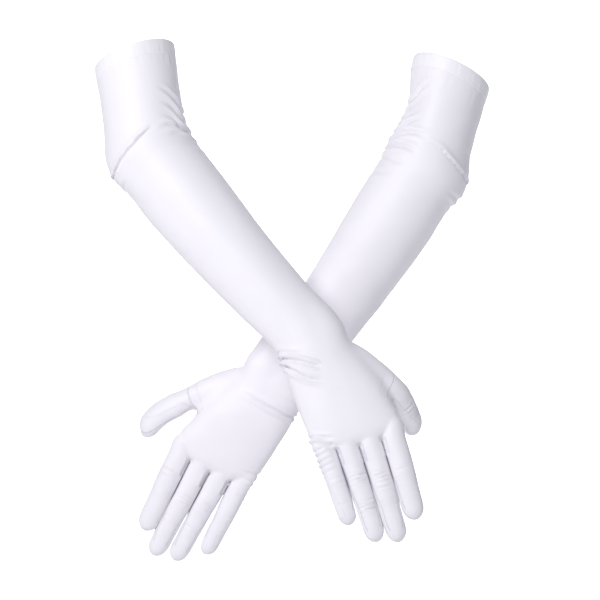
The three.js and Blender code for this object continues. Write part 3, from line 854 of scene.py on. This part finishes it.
# ---- Materials -------------------------------------------------------------------------------------
class Graph:
    """A few short ways to add shader nodes."""

    def __init__(self, name):
        self.material = bpy.data.materials.new(name)
        self.material.use_nodes = True
        self.tree = self.material.node_tree
        self.tree.nodes.clear()
        self.output = self.tree.nodes.new("ShaderNodeOutputMaterial")
        self.shader = self.tree.nodes.new("ShaderNodeBsdfPrincipled")
        self.link(self.shader.outputs[0], self.output.inputs[0])

    def link(self, a, b):
        self.tree.links.new(a, b)

    def node(self, kind, **values):
        node = self.tree.nodes.new(kind)
        for key, value in values.items():
            if hasattr(node, key):
                setattr(node, key, value)
            else:
                node.inputs[key].default_value = value
        return node

    def math(self, operation, a, b=0.0, clamp=False):
        node = self.tree.nodes.new("ShaderNodeMath")
        node.operation = operation
        node.use_clamp = clamp
        for k, value in enumerate((a, b)):
            if isinstance(value, (int, float)):
                node.inputs[k].default_value = value
            else:
                self.link(value, node.inputs[k])
        return node.outputs[0]

    def mix(self, factor, a, b):
        node = self.tree.nodes.new("ShaderNodeMix")
        node.data_type = "RGBA"
        self.link(factor, node.inputs["Factor"])
        for key, value in (("A", a), ("B", b)):
            socket = next(i for i in node.inputs if i.name == key and i.type == "RGBA")
            if isinstance(value, tuple):
                socket.default_value = value
            else:
                self.link(value, socket)
        return next(o for o in node.outputs if o.type == "RGBA")

    def falloff(self, distance, width):
        """1 on a line and 0 at `width` from it."""
        share = self.math("DIVIDE", self.math("ABSOLUTE", distance), width)
        return self.math("SUBTRACT", 1.0, share, clamp=True)


STRIP_TONE = (0.89, 0.885, 0.915, 1)
SEAM_TONE = (0.5, 0.5, 0.6, 1)
PAINTED_GAP_SHADE = (0.27, 0.26, 0.32, 1)  # painted shade, deep between two fingers
STITCH = 2.1  # length of a stitch and its gap, in millimetres


def satin(name, base, shade, roughness):
    """Stretch satin: soft sheen, fine ribs along the arm, a cooler tone in random patches, painted shade deep
    between the fingers, and sewn seams.
    """
    g = Graph(name)
    rest = g.node("ShaderNodeAttribute", attribute_name="rest")
    cloth = g.node("ShaderNodeAttribute", attribute_name="cloth")
    parts = g.tree.nodes.new("ShaderNodeSeparateXYZ")
    g.link(cloth.outputs["Vector"], parts.inputs[0])
    gap, along, strip = parts.outputs

    cloud = g.node("ShaderNodeTexNoise", Scale=32.0, Detail=3.0, Roughness=0.5)
    g.link(rest.outputs["Vector"], cloud.inputs["Vector"])
    tone = g.mix(g.math("MULTIPLY", cloud.outputs[0], 0.55), base, shade)
    tone = g.mix(g.math("MULTIPLY", strip, 0.5), tone, STRIP_TONE)
    seam = g.falloff(gap, 0.7)
    tone = g.mix(g.math("MULTIPLY", seam, 0.5), tone, SEAM_TONE)
    # Painted shade: the colour turns dark and cool deep in the gaps between neighbouring fingers.
    gap_shade = g.node("ShaderNodeAttribute", attribute_name="gap_shade")
    tone = g.mix(g.math("MULTIPLY", gap_shade.outputs["Fac"], 0.85), tone, PAINTED_GAP_SHADE)
    g.link(tone, g.shader.inputs["Base Color"])

    grain = g.node("ShaderNodeTexNoise", Scale=900.0, Detail=2.0, Roughness=0.6)
    stretch = g.node("ShaderNodeMapping")
    stretch.inputs["Scale"].default_value = (1.0, 1.0, 0.3)
    g.link(rest.outputs["Vector"], stretch.inputs["Vector"])
    g.link(stretch.outputs[0], grain.inputs["Vector"])
    rough = g.math("ADD", g.math("MULTIPLY", grain.outputs[0], 0.14), roughness - 0.07)
    g.link(rough, g.shader.inputs["Roughness"])

    ribs = g.node("ShaderNodeTexWave", Scale=620.0, Distortion=2.5, Detail=2.0)
    ribs.bands_direction = "X"
    g.link(rest.outputs["Vector"], ribs.inputs["Vector"])
    rib_part = g.math("MULTIPLY", ribs.outputs["Fac"], 0.35)
    weave = g.math("ADD", rib_part, g.math("MULTIPLY", grain.outputs[0], 0.65))
    stitch_row = g.falloff(g.math("SUBTRACT", g.math("ABSOLUTE", gap), 1.15), 0.28)
    beat = g.math("LESS_THAN", g.math("FRACT", g.math("DIVIDE", along, STITCH)), 0.68)
    stitches = g.math("MULTIPLY", stitch_row, beat)
    height = g.math("MULTIPLY", weave, 0.000025)
    height = g.math("SUBTRACT", height, g.math("MULTIPLY", seam, 0.00028))
    height = g.math("ADD", height, g.math("MULTIPLY", stitches, 0.0001))
    bump = g.node("ShaderNodeBump", Strength=1.0, Distance=1.0)
    g.link(height, bump.inputs["Height"])
    g.link(bump.outputs[0], g.shader.inputs["Normal"])

    g.shader.inputs["Sheen Weight"].default_value = 0.12
    g.shader.inputs["Sheen Roughness"].default_value = 0.35
    g.shader.inputs["Sheen Tint"].default_value = (0.93, 0.93, 1.0, 1)
    g.shader.inputs["Specular IOR Level"].default_value = 0.42
    g.shader.inputs["Anisotropic"].default_value = 0.35
    return g.material


def elastic_material():
    """Woven elastic: ribs along the band and a matt, slightly cool white."""
    g = Graph("woven_elastic")
    where = g.tree.nodes.new("ShaderNodeTexCoord")
    ribs = g.node("ShaderNodeTexWave", Scale=420.0, Distortion=0.6)
    ribs.bands_direction = "Z"
    g.link(where.outputs["Object"], ribs.inputs["Vector"])
    noise = g.node("ShaderNodeTexNoise", Scale=1400.0)
    g.link(where.outputs["Object"], noise.inputs["Vector"])
    g.link(g.mix(noise.outputs[0], (0.78, 0.78, 0.84, 1), (0.9, 0.9, 0.93, 1)), g.shader.inputs["Base Color"])
    bump = g.node("ShaderNodeBump", Strength=0.6, Distance=0.0002)
    g.link(ribs.outputs["Fac"], bump.inputs["Height"])
    g.link(bump.outputs[0], g.shader.inputs["Normal"])
    g.shader.inputs["Roughness"].default_value = 0.85
    return g.material


SATIN = satin("white_satin", (0.87, 0.85, 0.895, 1), (0.82, 0.8, 0.865, 1), 0.5)
HEM_SATIN = satin("hem_satin", (0.89, 0.875, 0.915, 1), (0.84, 0.825, 0.88, 1), 0.48)
ELASTIC = elastic_material()


# ---- Cutting the skin into pieces --------------------------------------------------------------------
def piece(name, skin, normals, faces, fields, shade):
    """A piece of cloth with an inner face, from some of the skin's faces."""
    used, compact = np.unique(skin.quads[faces], return_inverse=True)
    quads = compact.reshape(-1, 4)
    outer = skin.points[used]
    inner = outer - normals[used] * WALL * MM
    count = len(used)
    edges = edges_of(quads)
    _, first, seen = np.unique(np.sort(edges, 1), axis=0, return_index=True, return_counts=True)
    rim = edges[first[seen == 1]]
    walls = np.stack([rim[:, 1], rim[:, 0], rim[:, 0] + count, rim[:, 1] + count], -1)
    every = np.concatenate([quads, quads[:, ::-1] + count, walls])
    mesh = mesh_of(name, np.concatenate([outer, inner]), every.tolist())
    both = np.concatenate([used, used])
    store(mesh, "rest", skin.points[both])
    store(mesh, "cloth", fields[both])
    # The painted shade between the fingers, kept for the material.
    attribute = mesh.attributes.new("gap_shade", "FLOAT", "POINT")
    attribute.data.foreach_set("value", shade[both].astype(np.float32))
    mesh.polygons.foreach_set("use_smooth", np.ones(len(every), bool))
    mesh.materials.append(SATIN)
    direction = np.concatenate([normals[used], -normals[used]])
    mesh.normals_split_custom_set_from_vertices([tuple(n) for n in direction.tolist()])
    obj = place_object(name, mesh)
    return obj


def store(mesh, name, values):
    """Keeps a vector for each vertex, for the material to read."""
    attribute = mesh.attributes.new(name, "FLOAT_VECTOR", "POINT")
    attribute.data.foreach_set("vector", np.asarray(values, np.float32).ravel())


def hem(glove):
    """The turned hem: a puffed band with a rolled top edge, a stitched lower edge and small gathers."""
    around, name = 288, f"{glove.name}_turned_hem"
    # Millimetres out from the arm's surface and below the rim: the outer face, the top and the inner face.
    outside = [(-0.2, 13.6), (0.05, 13.1), (0.15, 12.4), (0.12, 11), (0.25, 9.4), (0.45, 6.5)]
    outside += [(0.5, 3.6), (0.5, 1)]
    top = [(0.35, 0.25), (-0.1, 0), (-0.9, 0), (-2, 0.1), (-2.9, 0.6)]
    inside = [(-3.3, 1.8), (-3.5, 4.5), (-3.5, 8), (-3.2, 10.4), (-3.3, 12.4), (-3, 13)]
    angle = np.linspace(0, 2 * math.pi, around, endpoint=False)
    waves = ((31, 0.06, 0.3), (47, 0.05, 1.9), (19, 0.06, 4.0))
    ripple = sum(high * np.sin(count * angle + start) for count, high, start in waves)
    rows, fields = [], []
    w, d = curve_through(UPPER_SECTIONS, 0)[0]
    for out, below in outside + top + inside:
        pinch = ripple * (1 if out > -0.5 else 0.5) * math.exp(-(((below - 10) / 7) ** 2))
        x, y = (w + out + pinch) * np.cos(angle), (d + out + pinch) * np.sin(angle)
        s = below - HEM_RAISE[glove.name] - SLOPE_ACROSS * x - SLOPE_FRONT * y
        rows.append(glove.upper.rows(x, y, s))
        fields.append(np.stack([np.full(around, FAR_FROM_SEAMS), angle * w, np.zeros(around)], -1))
    count = len(rows)
    i, j = np.meshgrid(np.arange(count), np.arange(around), indexing="ij")
    k, n = (j + 1) % around, (i + 1) % count
    quads = np.stack([i * around + j, n * around + j, n * around + k, i * around + k], -1).reshape(-1, 4)
    mesh = mesh_of(name, np.concatenate(rows), quads.tolist())
    recalculate_outside(mesh)
    store(mesh, "rest", np.concatenate(rows))
    store(mesh, "cloth", np.concatenate(fields))
    mesh.polygons.foreach_set("use_smooth", np.ones(len(quads), bool))
    mesh.materials.append(HEM_SATIN)
    obj = place_object(name, mesh)
    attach(obj, f"{glove.name}_upper_arm")
    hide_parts(f"{glove.name}_top_hem")


def close_fingers(glove, skin):
    """Turns the fingers back from their spread to where the joints hold them."""
    hand = glove.hand.local(skin.points)
    spread = {f: spread_frames(glove, f)[0] for f in FINGERS}
    place = {f: spread[f].local(skin.points) for f in FINGERS}
    gaps = np.stack([np.abs(place[f][:, 0]) / DIGITS[f]["width"] for f in FINGERS])
    nearest = np.argmin(gaps, 0)
    soft = 1 / np.maximum(gaps, 0.05) ** 3
    soft /= soft.sum(0)
    hard = np.eye(len(FINGERS))[nearest].T
    s = np.choose(nearest, [place[f][:, 2] for f in FINGERS])
    sharp = smooth((s + 3) / 4)
    share = soft * (1 - sharp) + hard * sharp
    weight = smooth((SPREAD_PIVOT - s) / SPREAD_PIVOT) * (hand[:, 2] > 60)
    moved = np.zeros_like(skin.points)
    for k, f in enumerate(FINGERS):
        angle = math.radians(SPREAD[f]) * glove.side * weight
        pivot = glove.digits[f][0].at(0, 0, SPREAD_PIVOT)
        spun = turn_about(skin.points - pivot, glove.hand.palm, angle[:, None])
        moved += share[k][:, None] * (pivot + spun)
    skin.points = moved


def shape_skin(glove):
    """The finished surface of one glove."""
    skin = Skin(*fused(glove))
    skin.relax(3)
    close_fingers(glove, skin)
    skin.relax(2)
    x, _, s = glove.hand.local(skin.points).T
    past_thumb_root = glove.digits["thumb"][0].local(skin.points)[:, 2]
    web = smooth((s - 74) / 14) * smooth((118 - s) / 12) * (np.abs(x) < 50)
    ball = smooth((x - 10) / 10) * smooth((s - 2) / 12) * smooth((98 - s) / 12)
    ball *= smooth((4 - past_thumb_root) / 10)
    skin.relax(4, web * 0.5, keep_size=False)
    skin.relax(110, ball, keep_size=False)
    relief = Relief(skin)
    relief.lift += undulation(skin.points, 5 + glove.side)
    fullness(glove, skin, relief)
    elbow_relief(glove, relief)
    gather_relief(glove, relief)
    wrist_relief(glove, relief)
    hand_relief(glove, relief)
    finger_relief(glove, relief)
    skin.points = skin.points + skin.normals() * relief.lift[:, None] * MM
    if glove.name == "left":
        stretch_fingers(glove, skin)
    return skin


def stretch_fingers(glove, skin):
    """Lengthens the fingers' cloth a little past their middle knuckles."""
    root = root_distance(glove, skin.points)
    for digit, reach in FINGER_STRETCH.items():
        spec, tip = DIGITS[digit], glove.digits[digit][1]
        share = smooth((root[digit] - spec["knuckle"]) / (spec["length"] - spec["knuckle"]))
        skin.points = skin.points + np.outer(share * reach * MM, tip.down)


def owners(glove, skin):
    """The name of the part that each of the skin's faces belongs to."""
    centre = skin.points[skin.quads].mean(1)
    up, fore, hand = glove.upper.local(centre), glove.forearm.local(centre), glove.hand.local(centre)
    root = root_distance(glove, centre)
    owner = np.full(len(centre), "upper", dtype=object)
    owner[fore[:, 2] > MID_FOREARM] = "fore"
    owner[hand[:, 2] > PALM_START] = "hand"
    for digit, spec in DIGITS.items():
        owner[root[digit] > 0] = f"{digit}_base"
        owner[root[digit] > split_distance(spec)] = f"{digit}_tip"
    for first, second in NEIGHBOURS:
        web_x, web_s = web_place(glove, first, second)
        near = (owner == "hand") & (np.abs(hand[:, 0] - web_x) < 6) & (np.abs(hand[:, 1]) < STRIP_HALF)
        owner[near & (hand[:, 2] > web_s - WEB_ABOVE)] = f"{first}_{second}_web"
    below_rim = up[:, 2] + SLOPE_ACROSS * up[:, 0] + SLOPE_FRONT * up[:, 1]
    owner[(owner == "upper") & (below_rim < HEM_DEPTH - 2 - HEM_RAISE[glove.name])] = "cut away"
    return owner


def cut_into_pieces(glove, skin):
    """Makes the pieces of cloth and ties those of the hand to the hand's body."""
    normals, fields = skin.normals(), cloth_fields(glove, skin.points)
    # shade is the painted shade deep between the fingers.
    shade, owner = painted_shade_between_fingers(glove, skin.points), owners(glove, skin)
    side, upper, forearm, hand = glove.name, glove.upper, glove.forearm, glove.hand

    def make(part, name):
        return piece(f"{side}_{name}", skin, normals, np.where(owner == part)[0], fields, shade)

    obj = make("upper", "sleeve_over_elbow")
    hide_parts(f"{side}_upper_sleeve", f"{side}_elbow_fold")
    start, end = upper.at(0, 0, UPPER_ARM - ELBOW_BLEND), forearm.at(0, 0, ELBOW_BLEND)
    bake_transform(obj)
    obj = make("fore", "sleeve_over_wrist")
    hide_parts(f"{side}_forearm_sleeve", f"{side}_wrist_fold")
    start, end = forearm.at(0, 0, FOREARM - WRIST_BLEND), hand.at(0, 0, WRIST_BLEND)
    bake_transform(obj)
    obj = make("hand", "palm_and_back")
    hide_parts(f"{side}_hand")
    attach(obj, f"{side}_hand")
    for first, second in NEIGHBOURS:
        obj = make(f"{first}_{second}_web", f"{first}_{second}_fourchette_web")
        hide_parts(f"{side}_{first}_{second}_fourchette")
        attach(obj, f"{side}_hand")
    for digit, spec in DIGITS.items():
        base = glove.digits[digit][0]
        obj = make(f"{digit}_base", f"{digit}_root_cloth")
        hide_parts(f"{side}_{digit}_base")
        start, end = base.at(0, 0, 0), base.at(0, 0, root_zone(spec))
        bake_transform(obj)
        obj = make(f"{digit}_tip", f"{digit}_tip_cloth")
        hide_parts(f"{side}_{digit}_tip")
        start, end = (base.at(0, 0, spec["knuckle"] + way * bend_zone(spec)) for way in (-1, 1))
        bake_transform(obj)


def bend_zone(spec):
    """The cloth bends this far on either side of a digit's middle joint."""
    return 9 if spec["knuckle"] > 20 else 6


def root_zone(spec):
    """The cloth bends this far past a digit's root."""
    return min(12, spec["knuckle"] - bend_zone(spec) - 1)


def split_distance(spec):
    """Where a digit's cloth is cut in two: between the zones in which it bends."""
    return (root_zone(spec) + spec["knuckle"] - bend_zone(spec)) / 2


for name in ("left", "right"):
    glove = Glove(name)
    cut_into_pieces(glove, shape_skin(glove))
    hem(glove)
    band = frame["nodes"][f"{name}_hem_elastic"]
    band.data.materials.clear()
    band.data.materials.append(ELASTIC)


# ---- Floor, light and camera -----------------------------------------------------------------------
low, high = (np.array(corner) for corner in CAD_BOX)
middle = (low + high) / 2
SHARE_OF_FRAME = 0.6633  # how much of the picture's width the pair fills
FLOOR_DROP = 0.12
COVE_START, COVE_RADIUS = 4, 1


def backdrop():
    """A white floor that curves up into a backdrop."""
    floor = low[2] - FLOOR_DROP
    profile = [(-6, floor), (COVE_START, floor)]
    for angle in np.linspace(0, math.pi / 2, 13)[1:]:
        y = COVE_START + COVE_RADIUS * math.sin(angle)
        profile.append((y, floor + COVE_RADIUS * (1 - math.cos(angle))))
    profile.append((COVE_START + COVE_RADIUS, floor + 5))
    verts = [(middle[0] + x, y, z) for x in (-6, 6) for y, z in profile]
    n = len(profile)
    faces = [(i, i + 1, n + i + 1, n + i) for i in range(n - 1)]
    mesh = mesh_of("backdrop", verts, faces)
    mesh.polygons.foreach_set("use_smooth", np.ones(len(faces), bool))
    g = Graph("backdrop_paper")
    noise = g.node("ShaderNodeTexNoise", Scale=3.0)
    paper = g.mix(noise.outputs[0], (0.93, 0.93, 0.935, 1), (0.95, 0.95, 0.955, 1))
    g.link(paper, g.shader.inputs["Base Color"])
    g.shader.inputs["Roughness"].default_value = 0.9
    mesh.materials.append(g.material)
    place_object("backdrop", mesh)


def lamp(name, place, aim, size, power, colour):
    """A rectangular lamp that shines at a point."""
    data = bpy.data.lights.new(name, "AREA")
    data.shape = "RECTANGLE"
    data.size, data.size_y = size
    data.energy = power
    data.color = colour
    obj = place_object(name, data)
    obj.location = place
    obj.rotation_mode = "QUATERNION"
    obj.rotation_quaternion = (Vector(aim) - Vector(place)).to_track_quat("-Z", "Y")


def studio():
    """Pale, even light, a soft key from the left and a lamp that lights the backdrop."""
    world = bpy.data.worlds.new("studio")
    bpy.context.scene.world = world
    world.use_nodes = True
    sky = world.node_tree.nodes["Background"]
    sky.inputs["Color"].default_value = (0.93, 0.95, 1.0, 1)
    sky.inputs["Strength"].default_value = 0.38
    aim = tuple(middle)
    lamp("key", middle + (-1.1, -1.9, 1.2), aim, (0.8, 0.8), 37, (1.0, 0.99, 1.0))
    lamp("fill", middle + (1.7, -1.6, 0.2), aim, (1.6, 1.6), 3, (0.93, 0.95, 1.0))
    lamp("back", middle + (0.2, 2.6, 2.4), middle + (0, 5, -0.2), (2.6, 1.0), 210, (1, 1, 1))


def camera():
    """A long lens, level with the gloves' middle and straight in front of them."""
    data = bpy.data.cameras.new("camera")
    data.lens, data.sensor_width = 240, 36
    distance = (high[0] - low[0]) / SHARE_OF_FRAME * data.lens / data.sensor_width
    obj = place_object("camera", data)
    obj.location = (middle[0] + 0.007, middle[1] - distance, middle[2])
    obj.rotation_euler = (math.pi / 2, 0, 0)
    data.clip_start, data.clip_end = 0.05, 50
    bpy.context.scene.camera = obj


backdrop()
studio()
camera()
bpy.context.scene.view_settings.view_transform = "Standard"
